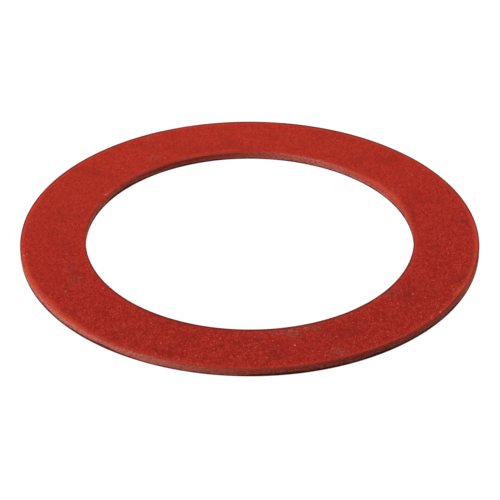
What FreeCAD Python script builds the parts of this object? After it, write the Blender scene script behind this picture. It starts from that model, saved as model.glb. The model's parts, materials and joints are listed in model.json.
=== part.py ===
"""Flat fibre washer: one ring punched from red vulcanised fibre sheet.

Millimetres, +Z up. The origin is the centre of the bore on the lower face, so the ring rests on Z = 0.
The rim and the bore are cut in one stroke of a compound die, so both walls carry the same bands. From the top
down these are a roll where the punch dragged the sheet in, a straight burnished land, and a torn zone that leans
in under the land and ends in a slightly dulled lower corner.
"""

import FreeCAD
import Part

import os

# Driving dimensions
bore_diameter = 60.0
ring_width = 12.0  # from the bore to the rim, the part that is clamped
thickness = 1.5

# The punched walls, alike at the rim and at the bore
roll_reach = 0.9  # across the upper face, from the wall to where the face turns flat
roll_drop = 0.2  # below the upper face, down to the top of the burnished land
roll_corner_radius = 0.1  # where the roll turns down into the land
torn_height = 0.4  # above the lower face, up to the foot of the burnished land
torn_lean = 0.04  # how far the torn zone leans in under the land
lower_corner_chamfer = 0.03

NODE = "fibre_washer"
ORIGIN = FreeCAD.Vector(0, 0, 0)
AXIS = FreeCAD.Vector(0, 0, 1)


def at(radius, height):
    """A point of the section, which is drawn in the XZ plane."""
    return FreeCAD.Vector(radius, 0, height)


def straight(start, end):
    return Part.LineSegment(start, end).toShape()


def arc(start, end, centre):
    """The short way round from start to end about centre."""
    towards_middle = (start + end) / 2 - centre
    middle = centre + towards_middle * ((start - centre).Length / towards_middle.Length)
    return Part.Arc(start, middle, end).toShape()


def rolled_shoulder(land_top, crown, inward):
    """From the land's top to the crown: a small upright arc, tangent to a large one that ends level."""
    across = roll_reach - roll_corner_radius
    down = roll_drop - roll_corner_radius
    between_centres = (across**2 + down**2) / (2 * down)
    corner_centre = land_top + at(inward * roll_corner_radius, 0)
    roll_centre = crown - at(0, between_centres + roll_corner_radius)
    outwards = (corner_centre - roll_centre) / between_centres
    tangent_point = corner_centre + outwards * roll_corner_radius
    return [arc(land_top, tangent_point, corner_centre), arc(tangent_point, crown, roll_centre)]


def punched_wall(radius, inward):
    """The section's edges up one wall, with their first and last points.

    inward is the way from the wall into the fibre: -1 at the rim, towards the axis, and +1 at the bore.
    """
    lower_corner = at(radius + inward * torn_lean, 0)
    land_foot = at(radius, torn_height)
    land_top = at(radius, thickness - roll_drop)
    crown = at(radius + inward * roll_reach, thickness)
    edges = [
        straight(lower_corner, land_foot),
        straight(land_foot, land_top),
        *rolled_shoulder(land_top, crown, inward),
    ]
    return edges, lower_corner, crown


def ring_section():
    """The closed section of the ring, on the +X side of its axis."""
    bore_radius = bore_diameter / 2
    rim, rim_foot, rim_crown = punched_wall(bore_radius + ring_width, inward=-1)
    bore, bore_foot, bore_crown = punched_wall(bore_radius, inward=+1)
    lower_face = straight(bore_foot, rim_foot)
    upper_face = straight(rim_crown, bore_crown)
    return Part.Face(Part.Wire([lower_face, *rim, upper_face, *reversed(bore)]))


def dull_lower_corners(ring):
    """Takes the sharpness off the two circles where the torn zones meet the lower face."""
    circles = [edge for edge in ring.Edges if isinstance(edge.Curve, Part.Circle)]
    lower_circles = [edge for edge in circles if edge.CenterOfMass.z < torn_height / 2]
    return ring.makeChamfer(lower_corner_chamfer, lower_circles)


def fibre_washer():
    """The whole washer: its section turned once about the axis, then dulled underneath."""
    ring = ring_section().revolve(ORIGIN, AXIS, 360)
    return dull_lower_corners(ring)


os.makedirs("parts", exist_ok=True)
fibre_washer().exportStep(f"parts/{NODE}.step")
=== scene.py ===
"""Looks of the flat fibre washer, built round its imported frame.

Metres, +Z up. The front is -Y. Angles round the ring run from +X towards +Y.
"""

import json
import math

import bpy
import numpy as np
from mathutils import Matrix, Vector, noise


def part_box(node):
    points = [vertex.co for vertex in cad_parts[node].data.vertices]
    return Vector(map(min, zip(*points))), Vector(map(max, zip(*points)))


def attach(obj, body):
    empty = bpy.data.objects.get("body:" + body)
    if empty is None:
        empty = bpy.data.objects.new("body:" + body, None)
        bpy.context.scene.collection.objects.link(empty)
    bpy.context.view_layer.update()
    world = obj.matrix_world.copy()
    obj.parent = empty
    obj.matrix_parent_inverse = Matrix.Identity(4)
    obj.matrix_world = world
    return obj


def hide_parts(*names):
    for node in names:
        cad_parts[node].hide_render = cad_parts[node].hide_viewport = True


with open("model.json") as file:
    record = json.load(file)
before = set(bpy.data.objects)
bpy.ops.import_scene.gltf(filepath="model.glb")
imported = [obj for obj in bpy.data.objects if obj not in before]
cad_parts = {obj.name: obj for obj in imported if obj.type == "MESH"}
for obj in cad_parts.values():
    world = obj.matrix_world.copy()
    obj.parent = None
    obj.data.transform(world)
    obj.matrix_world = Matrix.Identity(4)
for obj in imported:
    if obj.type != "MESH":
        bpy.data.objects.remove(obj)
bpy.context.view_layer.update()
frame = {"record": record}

MM = 0.001
NODE = "fibre_washer"

# The ring, from the frame
node_low, node_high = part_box(NODE)
THICKNESS = node_high.z - node_low.z
RIM_RADIUS = node_high.x
BORE_RADIUS = next(m["dims"]["r_mm"] for m in frame["record"]["mounts"] if m["name"] == "bore") * MM

# The punched walls, as in the frame, where the roll drops 0.2 mm all round
ROLL_REACH = 0.9 * MM
ROLL_CORNER = 0.10 * MM
CORNER_TURN = math.radians(74)  # from the upright land to the start of the roll
TORN_HEIGHT = 0.40 * MM
TORN_LEAN = 0.04 * MM
LOWER_CORNER = 0.03 * MM

# The photograph and the camera that it was taken with
PHOTO_SIDE = 500
PHOTO_CENTRE = 249.5
RING_CENTRE_IN_PHOTO = (249.22, 235.42)
CAMERA_DISTANCE = 0.46368
CAMERA_ELEVATION = math.radians(32.90)
CAMERA_ROLL = math.radians(-0.05)
LENS_IN_PIXELS = 2530
SENSOR = 36


def camera_axes():
    """The camera's right, up and forward directions."""
    e = CAMERA_ELEVATION
    forward = Vector((0, math.cos(e), -math.sin(e)))
    level_right = Vector((1, 0, 0))
    level_up = Vector((0, math.sin(e), math.cos(e)))
    c, s = math.cos(CAMERA_ROLL), math.sin(CAMERA_ROLL)
    return c * level_right - s * level_up, s * level_right + c * level_up, forward


def ray_through(pixel):
    """Direction from the camera through a pixel of the photograph, one unit deep."""
    right, up, forward = camera_axes()
    x = (pixel[0] - PHOTO_CENTRE) / LENS_IN_PIXELS
    y = (PHOTO_CENTRE - pixel[1]) / LENS_IN_PIXELS
    return x * right + y * up + forward


def camera_place():
    """Where the camera stands, so that it sees the upper face's centre where the photograph has it."""
    return Vector((0, 0, THICKNESS)) - ray_through(RING_CENTRE_IN_PHOTO) * CAMERA_DISTANCE


def on_upper_face(pixel):
    """The point of the upper face that a pixel of the photograph shows."""
    place, ray = camera_place(), ray_through(pixel)
    return place + ray * ((THICKNESS - place.z) / ray.z)


def make_camera():
    """The camera that the photograph was taken with."""
    right, up, forward = camera_axes()
    data = bpy.data.cameras.new("camera")
    data.sensor_width = SENSOR
    data.lens = LENS_IN_PIXELS / PHOTO_SIDE * SENSOR
    camera = bpy.data.objects.new("camera", data)
    turn = Matrix((right, up, -forward)).transposed().to_4x4()
    camera.matrix_world = Matrix.Translation(camera_place()) @ turn
    bpy.context.scene.collection.objects.link(camera)
    bpy.context.scene.camera = camera


# Marks on the upper face, read in the photograph. Each is a stroke from one pixel to another, with
# its width in millimetres and its strength.
PALE_STROKES = [
    ((104, 194), (107, 194), 0.36, 0.72),
    ((107, 193.6), (108.5, 192.4), 0.28, 0.32),
    ((109, 192), (110.5, 190.8), 0.28, 0.3),
    ((111, 190.4), (112.5, 189.2), 0.28, 0.25),
    ((122.25, 167.6), (122.25, 168.4), 0.3, 0.4),
    ((336, 140), (339, 140), 0.4, 0.24),
    ((385.25, 156.6), (385.25, 157.4), 0.3, 0.28),
    ((391.25, 174.6), (391.25, 175.4), 0.3, 0.28),
    ((388, 185), (396, 198), 1.8, 0.05),
    ((411.5, 173.85), (411.5, 174.65), 0.3, 0.4),
    ((461.15, 213), (461.15, 213.8), 0.3, 0.28),
    ((425.5, 211.4), (425.5, 212.2), 0.3, 0.28),
    ((22.8, 253.8), (22.8, 254.8), 0.3, 0.6),
    ((23.6, 255.2), (24.8, 255.4), 0.3, 0.3),
    ((26.5, 253.4), (26.6, 254.4), 0.3, 0.4),
    ((66.2, 253.1), (66.2, 253.9), 0.3, 0.36),
    ((80.2, 269.6), (80.2, 270.4), 0.3, 0.32),
    ((77, 277), (83, 276.6), 0.4, 0.2),
    ((102.8, 287.2), (102.8, 288), 0.3, 0.32),
    ((50.4, 295.6), (50.4, 296.4), 0.3, 0.36),
    ((84.15, 309.6), (84.15, 310.4), 0.3, 0.32),
    ((123.45, 323.8), (123.45, 324.6), 0.3, 0.36),
    ((160.2, 342.1), (160.2, 342.9), 0.3, 0.44),
    ((197.2, 363.2), (197.2, 364), 0.3, 0.4),
    ((220.2, 337.5), (220.2, 338.3), 0.3, 0.36),
    ((294.1, 343.9), (294.3, 344.5), 0.3, 0.8),
    ((294.5, 344.8), (295, 345.3), 0.3, 0.7),
    ((266, 356.9), (266, 357.7), 0.3, 0.48),
    ((276.25, 332.6), (276.25, 333.4), 0.3, 0.4),
    ((280, 332.6), (280, 333.2), 0.3, 0.3),
    ((285.6, 328.8), (285.6, 329.4), 0.3, 0.24),
    ((289, 329.6), (289, 330.2), 0.3, 0.4),
    ((297, 330.6), (297, 331.2), 0.3, 0.34),
    ((303.2, 326.8), (304.9, 328.2), 0.3, 0.3),
    ((305, 331.9), (305, 332.4), 0.3, 0.24),
    ((296, 333.8), (296, 334.3), 0.3, 0.24),
    ((281.25, 332.2), (281.25, 333), 0.3, 0.4),
    ((312, 350.3), (312, 351.1), 0.3, 0.4),
    ((332.4, 347.5), (332.4, 348.3), 0.3, 0.34),
    ((337.5, 347.2), (337.7, 348), 0.3, 0.3),
    ((343.3, 350.8), (343.4, 351.5), 0.3, 0.46),
    ((340.4, 350.7), (340.4, 351.3), 0.3, 0.3),
    ((341.4, 353.9), (341.4, 354.5), 0.3, 0.3),
    ((64.3, 290.6), (65.6, 291), 0.35, 0.22),
    ((255, 342.8), (257.4, 342.8), 0.4, 0.24),
    ((405.7, 334.2), (405.7, 335), 0.3, 0.48),
    ((412.2, 293.2), (412.2, 294), 0.3, 0.36),
    ((431, 316.2), (431, 317), 0.3, 0.48),
    ((439.9, 310.8), (439.9, 312), 0.36, 1.0),
    ((443, 309.6), (445, 308.6), 0.28, 0.32),
    ((453.2, 288), (453.2, 288.8), 0.3, 0.4),
    ((452.5, 294.7), (454.5, 293), 0.36, 0.2),
    ((455, 292.5), (457, 290.8), 0.36, 0.2),
    ((457.5, 290.4), (459.4, 288.8), 0.36, 0.2),
    ((447.9, 252.5), (447.9, 253.3), 0.3, 0.4),
    ((449.2, 241.9), (449.2, 242.7), 0.3, 0.32),
]
DARK_STROKES = [
    ((150, 158.4), (155, 157.4), 0.9, 0.3),
    ((152, 140), (154, 149), 1.6, 0.3),
    ((96, 172), (97, 174), 1.4, 0.35),
    ((80, 214), (82, 217), 1.8, 0.3),
    ((304, 145.5), (307, 145.5), 1.2, 0.35),
    ((347, 139.6), (354, 139.6), 1.2, 0.35),
    ((341, 163.3), (341.5, 163.3), 0.5, 0.8),
    ((447, 190), (448, 190), 0.7, 0.95),
    ((409, 207), (412, 212), 1.8, 0.35),
    ((404.6, 207.6), (405.4, 207.6), 0.6, 0.5),
    ((411.2, 216.2), (412.8, 216.1), 0.8, 1.0),
    ((414.2, 215), (415.2, 214.8), 0.8, 1.0),
    ((455, 220.7), (461, 220.7), 0.8, 0.6),
    ((460.4, 220.6), (465, 220.4), 1.2, 1.0),
    ((24.4, 253.6), (24.9, 253.6), 0.5, 0.6),
    ((71.2, 263.6), (71.8, 263.8), 0.8, 0.55),
    ((68.2, 266.5), (68.8, 267.5), 0.5, 0.5),
    ((69.6, 270.2), (70.6, 270.4), 0.7, 0.45),
    ((64.6, 288.5), (66, 288.4), 0.8, 1.0),
    ((69, 294.6), (69.4, 294.6), 0.6, 0.95),
    ((72, 312), (73.5, 312.5), 1.3, 0.6),
    ((125.5, 327), (126, 327), 0.5, 0.4),
    ((133, 345), (135, 345.3), 1.2, 0.35),
    ((139, 308.5), (141, 309), 1.5, 0.3),
    ((166, 322.3), (169, 322.5), 0.9, 0.8),
    ((178.4, 324.8), (180.6, 324.3), 0.9, 1.0),
    ((196.5, 332.5), (198.5, 333.2), 0.9, 0.4),
    ((217, 345), (219, 346), 1.3, 0.35),
    ((198, 359.6), (200, 359.8), 0.9, 0.35),
    ((256.6, 340), (257.6, 340.2), 1.2, 1.0),
    ((265.5, 355.7), (266.5, 355.5), 0.4, 0.6),
    ((296.2, 344), (296.4, 345.4), 0.4, 0.7),
    ((294.5, 346.4), (295.6, 346.4), 0.35, 0.5),
    ((312.5, 348), (313.1, 348), 0.5, 0.8),
    ((323.6, 349), (323.6, 352.4), 0.6, 0.85),
    ((390, 293), (393.5, 292.2), 1.0, 0.8),
    ((412, 292), (412.4, 291.6), 0.5, 0.5),
]
GREY_STROKES = [
    ((150, 158.8), (156, 157), 1.6, 0.65),
    ((145, 139), (149, 138), 2.0, 0.35),
    ((70, 264), (69, 272), 1.8, 0.35),
    ((72, 276), (76, 286), 2.2, 0.3),
    ((262, 333.4), (283, 331.6), 0.9, 0.35),
    ((283, 331), (296, 328.5), 2.8, 0.85),
    ((284, 335), (303, 335.5), 1.4, 0.6),
    ((298, 328.5), (320, 325.5), 1.8, 0.6),
    ((322, 351.4), (327, 351.4), 1.4, 0.5),
    ((333, 352.5), (345, 349.5), 2.4, 0.5),
    ((443.5, 189.2), (449, 187.8), 0.8, 0.55),
    ((386, 294), (396, 291), 2.2, 0.45),
]

# The ring's mesh: columns round the axis, and rows round the section
COLUMNS = 1140
TORN_ROWS = 5
LAND_ROWS = 3
CORNER_ROWS = 3
ROLL_ROWS = 8
UPPER_ROWS = 44
LOWER_ROWS = 3
ROLL_BUNCHING = 1.5  # above 1, the roll's rows stand closer together near its corner
CUT_FROM = 0.7  # share of wall from which a face shows the cut edge's finish

# Relief, all of it into the fibre: its greatest depth, the size of its features and its seed
WAVE = (0.012 * MM, 9 * MM, 3)
TEAR = (0.025 * MM, 0.5 * MM, 5)
DRAG = (0.010 * MM, 0.7 * MM, 7)

# What each wall carries round the ring: a value for the whole wall, and higher ones in spans from one angle
# to another, in degrees. The roll drops by so many millimetres, less where the punch ran closer to its die.
# The upper face is redder in a band along it, partly its own colour and partly painted highlight where the
# roll faces the lights. Painted shade, a brown line so many millimetres wide at the sides, runs just inside
# its corner, on the outline edges and on the sides turned from the lights. Worn parts are paler, and show
# the cut edge's finish on the roll too; their pale pink is painted highlight, for they lie on the sides that
# face the lights. The upper land may keep the sheet's red skin, and is then paler at its foot. Painted
# shade, dark, reaches up to so many millimetres above the lower face, at the foot of the walls where they
# meet the floor.
RIM = {
    "radius": RIM_RADIUS,
    "inward": -1,
    "seed": 29,
    "drop": (0.10, [(160, 278, 0.20)]),
    "red_band_and_highlight": (0.40, [(10, 195, 0.65), (176, 242, 1.0), (315, 388, 1.0)]),
    "corner_shade": (0.0, [(245, 285, 0.4), (264, 352, 0.95), (330, 562, 1.0)]),
    "corner_shade_width": (0.13, [(315, 560, 0.22)]),
    "wear_and_highlight": (0.0, [(176, 268, 0.78)]),
    "skin": (0.0, []),
    "foot_shade": (0.30, [(176, 255, 0.56), (255, 355, 0.50), (300, 350, 0.60)]),
}
BORE = {
    "radius": BORE_RADIUS,
    "inward": 1,
    "seed": 11,
    "drop": (0.06, [(-10, 88, 0.20), (70, 190, 0.10)]),
    "red_band_and_highlight": (0.15, [(6, 56, 0.8), (80, 128, 0.6), (110, 160, 0.4), (255, 370, 0.45)]),
    "corner_shade": (0.0, [(75, 190, 0.6), (168, 372, 1.0)]),
    "corner_shade_width": (0.19, [(60, 165, 0.22), (215, 375, 0.22)]),
    "wear_and_highlight": (0.0, [(-14, 98, 1.0)]),
    "skin": (0.0, [(-10, 64, 0.75), (70, 185, 0.4)]),
    "foot_shade": (0.25, [(-15, 40, 0.56), (20, 62, 0.38), (80, 140, 0.33), (118, 188, 0.58)]),
}
SPAN_FADE = 20  # degrees over which a span comes in and goes out
CORNER_SHADE_WIDENING = 1.9  # how much wider the painted corner shade is at the front and the rear, as a share
CORNER_SHADE_FALL = 1.9  # how fast the painted corner shade fades across its width
CORNER_SHADE_PEAK = 1.1  # where the painted corner shade is darkest, on the scale that the fall above makes
WEAR_AND_HIGHLIGHT_WIDTH = 0.34 * MM
BAND_WIDTH = 0.75 * MM
BAND_SEED = 17

# What varies round the ring: the size of its features in millimetres, its middle, its spread and the step
# from the wall's seed to its own
VARIES = {
    "reach": (5, 0.9, 0.2, 0),
    "drop": (7, 1.0, 0.3, 1),
    "torn_height": (0.9, 0.95, 0.25, 2),
    "corner_shade": (6, 0.9, 0.5, 3),
    "wear_and_highlight_width": (3, 1.0, 0.4, 4),
    "foot_shade": (4, 1.0, 0.4, 5),
    "band_width": (4, 1.0, 0.4, 0),
}


def rough(points, size, seed):
    """Smooth random values from about -1 to 1 at the points, with features of about size metres."""
    shift = Vector((seed, 2 * seed, 3 * seed))
    return np.array([noise.noise(Vector(p) / size + shift) for p in points.reshape(-1, 3).tolist()])


def column_angles():
    """The angle of every column, in radians."""
    return np.arange(COLUMNS) * 2 * math.pi / COLUMNS


def varied(name, seed):
    """A factor for every column, which varies smoothly round the ring."""
    size, middle, spread, step = VARIES[name]
    angle = column_angles()
    rim = RIM_RADIUS * np.stack([np.cos(angle), np.sin(angle), 0 * angle], -1)
    return middle + spread * rough(rim, size * MM, seed + step)


def relief(points, form):
    """How deep a form of the relief goes at each point."""
    depth, size, seed = form
    return depth * (1 + rough(points, size, seed)) / 2


def round_values(everywhere, spans):
    """A wall's value at every column: the same everywhere, but for the spans."""
    values = np.full(COLUMNS, everywhere)
    for start, end, value in spans:
        past_start = (np.degrees(column_angles()) - start) % 360
        share = np.clip(np.minimum(past_start, end - start - past_start) / SPAN_FADE, 0, 1)
        values = np.maximum(values, value * share)
    return values


def up_the_wall(wall):
    """The rows of one wall, from the lower face to the crown of the roll.

    Each row has its inset from the land and its height at every column, and its shares of wall, torn zone
    and roll.
    """
    seed = wall["seed"]
    reach = ROLL_REACH * varied("reach", seed)
    drop = round_values(*wall["drop"]) * MM * varied("drop", seed)
    corner = np.minimum(ROLL_CORNER, drop / 2)
    foot = TORN_HEIGHT * varied("torn_height", seed)
    land_top = THICKNESS - drop
    flat = np.zeros(COLUMNS)
    rows = [(flat + TORN_LEAN + LOWER_CORNER, flat, 0.5, 1.0, 0.0)]
    for t in np.linspace(0, 1, TORN_ROWS, endpoint=False):
        height = LOWER_CORNER + t * (foot - LOWER_CORNER)
        rows.append((TORN_LEAN * (1 - height / foot), height, 1.0, 1 - t, 0.0))
    for t in np.linspace(0, 1, LAND_ROWS, endpoint=False):
        rows.append((flat, foot + t * (land_top - foot), 1.0, 0.0, 0.0))
    for turn in np.linspace(0, CORNER_TURN, CORNER_ROWS, endpoint=False):
        inset = corner * (1 - math.cos(turn))
        rows.append((inset, land_top + corner * math.sin(turn), 1 - turn / CORNER_TURN / 2, 0.0, 1.0))
    corner_end = corner * (1 - math.cos(CORNER_TURN))
    left_to_rise = drop - corner * math.sin(CORNER_TURN)
    for t in np.linspace(0, 1, ROLL_ROWS) ** ROLL_BUNCHING:
        inset = corner_end + t * (reach - corner_end)
        rows.append((inset, THICKNESS - left_to_rise * (1 - t) ** 2, (1 - t) ** 2 / 2, 0.0, 1 - t))
    return rows


def wall_fields(wall):
    """The rows up one wall, each with its radius, its height and its fields at every column."""
    inward, seed = wall["inward"], wall["seed"]
    corner_shaded = round_values(*wall["corner_shade"]) * np.clip(varied("corner_shade", seed), 0, 1)
    widening = 1 + CORNER_SHADE_WIDENING * np.abs(np.sin(column_angles()))
    corner_shade_width = round_values(*wall["corner_shade_width"]) * MM * widening
    # Wear on the shoulders, partly painted highlight, as it lies on the sides that face the lights
    wear_and_highlight = round_values(*wall["wear_and_highlight"])
    wear_and_highlight_width = WEAR_AND_HIGHLIGHT_WIDTH * varied("wear_and_highlight_width", seed)
    # How high the painted shade at the foot of the wall reaches, in millimetres
    foot_shade = round_values(*wall["foot_shade"]) * varied("foot_shade", seed)
    skin = round_values(*wall["skin"])
    fields = []
    for inset, height, share, torn, roll in up_the_wall(wall):
        from_peak = CORNER_SHADE_FALL * inset / corner_shade_width - CORNER_SHADE_PEAK
        # Painted shade just inside the upper corners, on the roll's rows only
        corner_shade_share = (roll > 0) * np.exp(-(from_peak**2)) * corner_shaded
        wear_and_highlight_share = np.exp(-((inset / wear_and_highlight_width) ** 3)) * wear_and_highlight
        share, torn = (np.full(COLUMNS, value) for value in (share, torn))
        radius = wall["radius"] + inward * inset
        fields.append([radius, height, share, torn, corner_shade_share, wear_and_highlight_share, foot_shade, skin, inward * share])
    return fields


def flat_fields(first, last, height, count):
    """The rows of a flat face between two circles of columns."""
    none = np.zeros(COLUMNS)
    rows = []
    for t in np.linspace(0, 1, count + 2)[1:-1]:
        rows.append([first + t * (last - first), none + height, *[none] * 7])
    return rows


def section():
    """All rows round the section: up the bore, across the upper face, down the rim and back below."""
    bore, rim = wall_fields(BORE), wall_fields(RIM)[::-1]
    upper = flat_fields(bore[-1][0], rim[0][0], THICKNESS, UPPER_ROWS)
    lower = flat_fields(rim[-1][0], bore[0][0], 0.0, LOWER_ROWS)
    return np.array(bore + upper + rim + lower)


def ring_points(radius, height):
    """The points with such a radius and height, row by row."""
    angle = column_angles()
    return np.stack([radius * np.cos(angle), radius * np.sin(angle), height], -1).reshape(-1, 3)


def quads(rows):
    """The faces between neighbouring rows and columns, closed round the section and round the ring."""
    row, column = np.meshgrid(np.arange(rows), np.arange(COLUMNS), indexing="ij")
    next_row, next_column = (row + 1) % rows, (column + 1) % COLUMNS
    corners = [(row, column), (next_row, column), (next_row, next_column), (row, next_column)]
    return np.stack([r * COLUMNS + c for r, c in corners], -1).reshape(-1, 4)


def make_ring():
    """The dressed ring: its section's rows joined all round, with its relief and the fields of its looks."""
    radius, height, wall, torn, corner_shade, wear_and_highlight, foot_shade, skin, inward = np.moveaxis(section(), 1, 0)
    points = ring_points(radius, height)
    band_width = BAND_WIDTH * varied("band_width", BAND_SEED)
    # The band along the edges, partly painted highlight where the roll faces the lights
    at_rim = np.exp(-(((RIM_RADIUS - radius) / band_width) ** 2)) * round_values(*RIM["red_band_and_highlight"])
    at_bore = np.exp(-(((radius - BORE_RADIUS) / band_width) ** 2)) * round_values(*BORE["red_band_and_highlight"])
    red_band_and_highlight = (at_rim + at_bore) * (1 - wall) * (height > THICKNESS / 2)
    tear = 2 * np.minimum(torn, 1 - torn).ravel() * relief(points, TEAR)
    radius = radius + inward * (tear + relief(points, DRAG)).reshape(radius.shape)
    on_upper = (height > THICKNESS / 2) * (wall < CUT_FROM)
    height = height - relief(points, WAVE).reshape(height.shape) * on_upper
    mesh = bpy.data.meshes.new("punched_ring")
    mesh.from_pydata(ring_points(radius, height).tolist(), [], quads(len(radius)).tolist())
    mesh.update()
    mesh.shade_smooth()
    # Two of these fields paint shade, along the upper corners and at the foot of the walls, and two are
    # partly painted highlight, the band along the edges and the pale worn shoulders
    fields = {"wall": wall, "red_band_and_highlight": red_band_and_highlight, "corner_shade": corner_shade, "wear_and_highlight": wear_and_highlight, "foot_shade": foot_shade, "skin": skin}
    for name, values in fields.items():
        attribute = mesh.attributes.new(name, "FLOAT", "POINT")
        attribute.data.foreach_set("value", values.ravel().astype(np.float32))
    mesh.materials.append(face_material())
    mesh.materials.append(cut_material())
    is_cut = (wall + np.roll(wall, -1, axis=0)) / 2 > CUT_FROM
    mesh.polygons.foreach_set("material_index", is_cut.ravel().astype(np.int32))
    ring = bpy.data.objects.new("punched_ring", mesh)
    bpy.context.scene.collection.objects.link(ring)
    return ring


STROKE_REACH = 0.7  # how far a stroke's ellipse reaches past its line, as a share of its width
STROKE_CORE = 0.1  # share of the ellipse that the stroke covers in full
ELSEWHERE = (31, 47, 0)  # millimetres to another part of a noise


class Nodes:
    """A short way to write a material's nodes."""

    def __init__(self, name):
        self.material = bpy.data.materials.new(name)
        self.material.use_nodes = True
        self.tree = self.material.node_tree
        self.surface = self.tree.nodes["Principled BSDF"]

    def add(self, kind, inputs=None, **settings):
        """A node whose inputs are numbers, colours or other nodes' sockets, by name or by place."""
        made = self.tree.nodes.new(kind)
        for name, value in settings.items():
            setattr(made, name, value)
        for name, value in (inputs or {}).items():
            if isinstance(value, bpy.types.NodeSocket):
                self.tree.links.new(value, made.inputs[name])
            else:
                made.inputs[name].default_value = value
        return made

    def set(self, name, value):
        """Gives the surface a value or a socket."""
        if isinstance(value, bpy.types.NodeSocket):
            self.tree.links.new(value, self.surface.inputs[name])
        else:
            self.surface.inputs[name].default_value = value

    def millimetres(self):
        """The surface's own coordinates, in millimetres."""
        place = self.add("ShaderNodeTexCoord").outputs["Object"]
        return self.add("ShaderNodeVectorMath", {0: place, "Scale": 1 / MM}, operation="SCALE").outputs[0]

    def vector(self, operation, a, b, output=0):
        """An operation on two vectors."""
        return self.add("ShaderNodeVectorMath", {0: a, 1: b}, operation=operation).outputs[output]

    def height(self, place):
        """How high a place is above the lower face."""
        return self.add("ShaderNodeSeparateXYZ", {0: place}).outputs["Z"]

    def noise(self, place, size, detail):
        """Smooth noise around 0.5, with features of about size millimetres."""
        inputs = {"Vector": place, "Scale": 1 / size, "Detail": detail}
        return self.add("ShaderNodeTexNoise", inputs).outputs["Fac"]

    def span(self, value, low, high, to_low=0.0, to_high=1.0):
        """Maps low..high smoothly onto to_low..to_high, and holds it there outside."""
        inputs = {0: value, 1: low, 2: high, 3: to_low, 4: to_high}
        return self.add("ShaderNodeMapRange", inputs, interpolation_type="SMOOTHSTEP").outputs[0]

    def math(self, operation, a, b=0.0):
        """An operation on one or two numbers."""
        return self.add("ShaderNodeMath", {0: a, 1: b}, operation=operation).outputs[0]

    def mix(self, share, a, b):
        """Colour a where share is 0, colour b where it is 1."""
        inputs = {0: share, 6: a, 7: b}
        return self.add("ShaderNodeMix", inputs, data_type="RGBA").outputs[2]

    def times(self, *values):
        """The product of two or more values."""
        product = values[0]
        for value in values[1:]:
            product = self.math("MULTIPLY", product, value)
        return product

    def specks(self, place, spacing, size, share):
        """Specks size millimetres across, one to a cell of spacing millimetres, in a share of the cells."""
        inputs = {"Vector": place, "Scale": 1 / spacing}
        cells = self.add("ShaderNodeTexVoronoi", inputs, voronoi_dimensions="2D")
        reach = size / 2 / spacing
        near = self.span(cells.outputs["Distance"], reach / 2, reach, 1.0, 0.0)
        chance = self.add("ShaderNodeSeparateColor", {0: cells.outputs["Color"]}).outputs[0]
        return self.times(near, self.span(chance, 1 - share, 1.0))

    def threads(self, place, size, width):
        """Short curved threads of about size millimetres, where one noise passes its middle."""
        path = self.math("ABSOLUTE", self.math("SUBTRACT", self.noise(place, size, detail=0), 0.5))
        patches = self.noise(self.vector("ADD", place, ELSEWHERE), size, detail=1)
        return self.times(self.span(path, 0.0, width, 1.0, 0.0), self.span(patches, 0.56, 0.66))

    def strokes(self, place, strokes):
        """How strongly strokes of the upper face cover each point. Each is a soft ellipse, along X or Y."""
        cover = 0.0
        for start, end, width, strength in strokes:
            a, b = (on_upper_face(pixel) / MM for pixel in (start, end))
            reach = STROKE_REACH * width
            half_sizes = (abs(b.x - a.x) / 2 + reach, abs(b.y - a.y) / 2 + reach, reach)
            scale = Vector([1 / half for half in half_sizes])
            inputs = {0: place, 1: scale, 2: -(a + b) / 2 * scale}
            inside = self.add("ShaderNodeVectorMath", inputs, operation="MULTIPLY_ADD").outputs[0]
            away = self.add("ShaderNodeVectorMath", {0: inside}, operation="LENGTH").outputs["Value"]
            cover = self.math("MAXIMUM", cover, self.span(away, STROKE_CORE, 1.0, strength, 0.0))
        return cover

    def attribute(self, name):
        """One of the fields that the ring's mesh carries."""
        return self.add("ShaderNodeAttribute", attribute_name=name).outputs["Fac"]

    def bump(self, height, distance, below=None):
        """Bump of a height field, distance metres high, on top of another bump."""
        inputs = {"Height": height, "Distance": distance}
        if below is not None:
            inputs["Normal"] = below
        return self.add("ShaderNodeBump", inputs).outputs["Normal"]


# Colours, as linear red, green, blue and full cover
FIBRE_DEEP = (0.325, 0.0012, 0.0001, 1)
FIBRE_BRIGHT = (0.440, 0.0355, 0.0205, 1)
# Painted light: a yellower tint for the far side, standing in for the warm light that falls there
FAR_SIDE_WARM_LIGHT = (0.370, 0.0760, 0.0130, 1)
BROWN = (0.250, 0.0120, 0.0060, 1)
# Partly painted highlight: the redder band along the edges, strongest where the roll faces the lights
ROLL_RED_AND_HIGHLIGHT = (0.620, 0.0700, 0.0350, 1)
PALE = (0.800, 0.1700, 0.1400, 1)
DARK = (0.140, 0.0130, 0.0100, 1)
GREY_DEEP = (0.170, 0.0160, 0.0100, 1)
GREY_BRIGHT = (0.410, 0.0700, 0.0490, 1)
LAND_DEEP = (0.235, 0.0205, 0.0105, 1)
LAND_BRIGHT = (0.460, 0.0850, 0.0540, 1)
# Partly painted highlight: the pale pink of the worn shoulders, which lie on the sides that face the lights
SCUFF_HIGHLIGHT = (0.420, 0.1150, 0.0830, 1)
# Painted shade: the dark at the foot of the walls, where they meet the floor
FOOT_SHADE_DARK = (0.095, 0.0040, 0.0028, 1)
# Painted shade: a brown line just inside the upper corners, on the outline edges and the sides turned from
# the lights
CORNER_SHADE_DARK = (0.140, 0.0130, 0.0090, 1)

FACE_SPECULAR = 0.06
CUT_SPECULAR = 0.3
FACE_ROUGHNESS = (0.66, 0.80)
CUT_ROUGHNESS = (0.60, 0.75)

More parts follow.
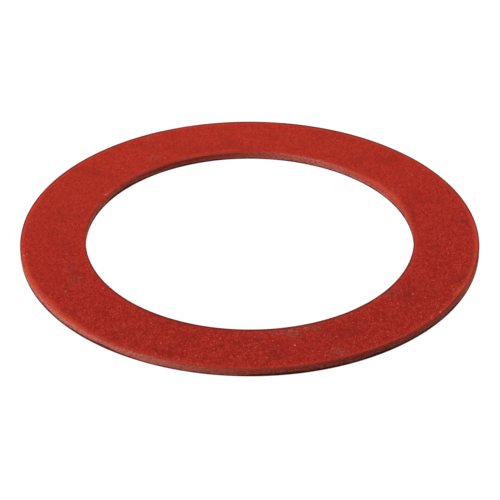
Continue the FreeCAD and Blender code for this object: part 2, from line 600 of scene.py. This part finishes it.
# The sheet's and the cut edge's textures: sizes in millimetres, and factors along X, Y and Z
FINE_SIZE = 0.155
MOTTLE_SIZE = 0.7
BLOTCH_SIZE = 5.0
SCRAPE_SIZE = 0.28
RUB_HIGHLIGHT_SIZE = 0.32
LAYER_SIZE = 0.5
GRAIN_DRAW = (1.0, 0.55, 1.0)
LAYER_DRAW = (0.6, 0.6, 3.0)
FINE_BUMP = 0.015 * MM
MOTTLE_BUMP = 0.03 * MM

# Towards the front right the sheet's surface is more open: its grain is stronger and its specks are denser,
# while the far side carries painted warm light, a yellower tint. The distances along that way run from the
# axis, in millimetres.
OPEN_SIDE = (0.342, -0.940, 0.0)
MIDDLE_RADIUS = (RIM_RADIUS + BORE_RADIUS) / 2 / MM
OPENNESS = (0.66, 1.16)
FAR_SIDE_WARM_LIGHT_SHARE = 0.05
FAR_SIDE_WARM_LIGHT_UNTIL = 16.0
SPECKS_FROM = -5.0
SPECKS_FULL = 30.0


def grain(n, place):
    """The paper's fine grain, drawn out along the sheet, and its coarser mottling."""
    drawn = n.vector("MULTIPLY", place, GRAIN_DRAW)
    return n.noise(drawn, FINE_SIZE, detail=1), n.noise(drawn, MOTTLE_SIZE, detail=2)


def sheet_colour(n, place, fine, mottle):
    """The sheet's red, with its grain, mottling, brown blotches, painted warm light on the far side, threads
    and specks.
    """
    along = n.vector("DOT_PRODUCT", place, OPEN_SIDE, output="Value")
    openness = n.span(along, -MIDDLE_RADIUS, MIDDLE_RADIUS, *OPENNESS)
    # Painted warm light, strongest on the far side
    far_side_warm_light = n.span(along, -MIDDLE_RADIUS, FAR_SIDE_WARM_LIGHT_UNTIL, FAR_SIDE_WARM_LIGHT_SHARE, 0.0)
    open_grain = n.times(n.math("SUBTRACT", fine, 0.5), openness)
    open_mottle = n.times(n.span(mottle, 0.44, 0.66, 0.0, 0.50), openness)
    blotch = n.noise(place, BLOTCH_SIZE, detail=3)
    thread = n.threads(place, size=1.1, width=0.03)
    sparse_speck = n.specks(place, spacing=1.7, size=0.24, share=0.2)
    dense_speck = n.specks(place, spacing=1.0, size=0.28, share=0.35)
    dark_speck = n.specks(place, spacing=2.3, size=0.5, share=0.4)
    colour = n.mix(n.span(open_grain, -0.20, 0.20), FIBRE_DEEP, FIBRE_BRIGHT)
    colour = n.mix(open_mottle, colour, BROWN)
    colour = n.mix(n.span(blotch, 0.50, 0.75, 0.0, 0.6), colour, BROWN)
    # Painted warm light over the far side
    colour = n.mix(far_side_warm_light, colour, FAR_SIDE_WARM_LIGHT)
    # The band along the edges: partly the sheet's own red, partly painted highlight where the roll faces the
    # lights
    colour = n.mix(n.attribute("red_band_and_highlight"), colour, ROLL_RED_AND_HIGHLIGHT)
    colour = n.mix(n.times(thread, 0.08), colour, PALE)
    colour = n.mix(n.times(sparse_speck, 0.3), colour, PALE)
    colour = n.mix(n.times(dense_speck, n.span(along, SPECKS_FROM, SPECKS_FULL, 0.0, 0.58)), colour, PALE)
    return n.mix(n.times(dark_speck, 0.4), colour, DARK)


def marked(n, place, colour, fine):
    """The marks of use on the upper face, over its colour."""
    scraped = n.span(n.noise(place, SCRAPE_SIZE, detail=1), 0.42, 0.58)
    colour = n.mix(n.strokes(place, GREY_STROKES), colour, n.mix(scraped, GREY_DEEP, GREY_BRIGHT))
    dark = n.strokes(place, DARK_STROKES)
    colour = n.mix(n.times(dark, n.span(fine, 0.30, 0.60, 1.0, 0.6)), colour, DARK)
    return n.mix(n.strokes(place, PALE_STROKES), colour, PALE)


def edge_colour(n, place, fine):
    """The cut edge's duller red, in faint layers: pale where it is worn, with painted highlight there, and
    dark at its foot with painted shade.
    """
    layer = n.noise(n.vector("MULTIPLY", place, LAYER_DRAW), LAYER_SIZE, detail=2)
    speckle = n.math("ADD", n.times(fine, 0.6), n.times(layer, 0.4))
    colour = n.mix(n.span(speckle, 0.41, 0.59), LAND_DEEP, LAND_BRIGHT)
    # Worn shoulders: pale pink, partly painted highlight on the sides that face the lights
    rubbed_highlight = n.span(n.noise(place, RUB_HIGHLIGHT_SIZE, detail=1), 0.38, 0.62)
    colour = n.mix(n.times(n.attribute("wear_and_highlight"), rubbed_highlight), colour, SCUFF_HIGHLIGHT)
    above_foot_shade = n.math("SUBTRACT", n.height(place), n.attribute("foot_shade"))
    not_wear_and_highlight = n.math("SUBTRACT", 1.0, n.attribute("wear_and_highlight"))
    foot = n.times(n.span(above_foot_shade, 0.20, 0.55, 0.4, 0.0), n.attribute("skin"), not_wear_and_highlight)
    colour = n.mix(foot, colour, PALE)
    # Painted shade at the foot of the walls, with a ragged top
    ragged = n.math("ADD", above_foot_shade, n.times(layer, 0.25))
    return n.mix(n.span(ragged, 0.04, 0.20, 1.0, 0.0), colour, FOOT_SHADE_DARK)


def cut_and_corner_shaded(n, place, fine, colour):
    """Edge colour over the sheet's on the walls, with painted shade, a brown line, along the upper corners.
    """
    cut = n.math("MAXIMUM", n.span(n.attribute("wall"), 0.40, 0.85), n.attribute("wear_and_highlight"))
    skin = n.times(n.attribute("skin"), n.span(n.height(place), 0.62, 0.85))
    colour = n.mix(n.times(cut, n.math("SUBTRACT", 1.0, skin)), colour, edge_colour(n, place, fine))
    # Painted shade along the upper corners
    return n.mix(n.attribute("corner_shade"), colour, CORNER_SHADE_DARK)


def face_material():
    """The sheet's own surface, above and below: matt, mottled and marked."""
    n = Nodes("fibre_sheet_face")
    place = n.millimetres()
    fine, mottle = grain(n, place)
    colour = marked(n, place, sheet_colour(n, place, fine, mottle), fine)
    n.set("Base Color", cut_and_corner_shaded(n, place, fine, colour))
    n.set("Roughness", n.span(mottle, 0.3, 0.7, *FACE_ROUGHNESS))
    n.set("Specular IOR Level", FACE_SPECULAR)
    n.set("Normal", n.bump(mottle, MOTTLE_BUMP, n.bump(fine, FINE_BUMP)))
    return n.material


def cut_material():
    """The punched walls: a burnished land over a torn, fibrous zone."""
    n = Nodes("fibre_cut_edge")
    place = n.millimetres()
    fine, mottle = grain(n, place)
    n.set("Base Color", cut_and_corner_shaded(n, place, fine, sheet_colour(n, place, fine, mottle)))
    n.set("Roughness", n.span(mottle, 0.3, 0.7, *CUT_ROUGHNESS))
    n.set("Specular IOR Level", CUT_SPECULAR)
    n.set("Normal", n.bump(fine, FINE_BUMP))
    return n.material


ROOM_COLOUR = (0.10, 0.10, 0.10, 1)
FLOOR_COLOUR = (0.05, 0.05, 0.05, 1)
FLOOR_ROUGHNESS = 0.9
GLOW_COLOUR = (1, 1, 1, 1)
GLOW_STRENGTH = 0.97
FLOOR_RADIUS = 1.2
BACKDROP_RADIUS = 1.6
FLOOR_COLUMNS = 96
BACKDROP_ROWS = 12


def softbox(name, azimuth, elevation, distance, side, watts):
    """A square soft light that looks at the ring. Its azimuth runs as the ring's angles do."""
    data = bpy.data.lights.new(name, "AREA")
    data.size = side
    data.energy = watts
    light = bpy.data.objects.new(name, data)
    a, e = math.radians(azimuth), math.radians(elevation)
    outwards = Vector((math.cos(a) * math.cos(e), math.sin(a) * math.cos(e), math.sin(e)))
    light.location = outwards * distance
    light.rotation_mode = "QUATERNION"
    light.rotation_quaternion = outwards.to_track_quat("Z", "Y")
    light.visible_camera = False
    bpy.context.scene.collection.objects.link(light)


def make_lights():
    """Soft lights round the ring, in a dim room."""
    softbox("key_left", azimuth=199, elevation=14, distance=0.6, side=0.4, watts=5.75)
    softbox("overhead_rear", azimuth=95, elevation=55, distance=0.2, side=0.1, watts=0.21)
    softbox("fill_right", azimuth=35, elevation=14, distance=0.6, side=0.3, watts=2.1)
    softbox("fill_front", azimuth=325, elevation=20, distance=0.6, side=0.4, watts=1.0)
    world = bpy.data.worlds.new("room")
    world.use_nodes = True
    world.node_tree.nodes["Background"].inputs["Color"].default_value = ROOM_COLOUR
    bpy.context.scene.world = world


def make_floor():
    """A glowing white floor that curves up into a backdrop all round, and sends no light to the ring."""
    columns = FLOOR_COLUMNS
    curve = BACKDROP_RADIUS - FLOOR_RADIUS
    profile = [(FLOOR_RADIUS / 3, 0.0), (FLOOR_RADIUS * 2 / 3, 0.0)]
    for turn in np.linspace(0, math.pi / 2, BACKDROP_ROWS):
        profile.append((FLOOR_RADIUS + curve * math.sin(turn), curve * (1 - math.cos(turn))))
    profile.append((BACKDROP_RADIUS, BACKDROP_RADIUS))
    angles = [2 * math.pi * k / columns for k in range(columns)]
    points = [(r * math.cos(a), r * math.sin(a), z) for r, z in profile for a in angles]
    faces = [tuple(range(columns))]
    for i in range(len(profile) - 1):
        for k in range(columns):
            j = (k + 1) % columns
            faces.append((i * columns + k, (i + 1) * columns + k, (i + 1) * columns + j, i * columns + j))
    mesh = bpy.data.meshes.new("floor")
    mesh.from_pydata(points, [], faces)
    mesh.shade_smooth()
    floor = bpy.data.objects.new("floor", mesh)
    n = Nodes("white_floor")
    n.set("Base Color", FLOOR_COLOUR)
    n.set("Roughness", FLOOR_ROUGHNESS)
    n.set("Emission Color", GLOW_COLOUR)
    n.set("Emission Strength", GLOW_STRENGTH)
    mesh.materials.append(n.material)
    floor.visible_diffuse = False
    floor.visible_glossy = False
    bpy.context.scene.collection.objects.link(floor)


bpy.context.scene.view_settings.view_transform = "Standard"
make_camera()
make_lights()
make_floor()
ring = make_ring()
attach(ring, "root")
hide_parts(NODE)
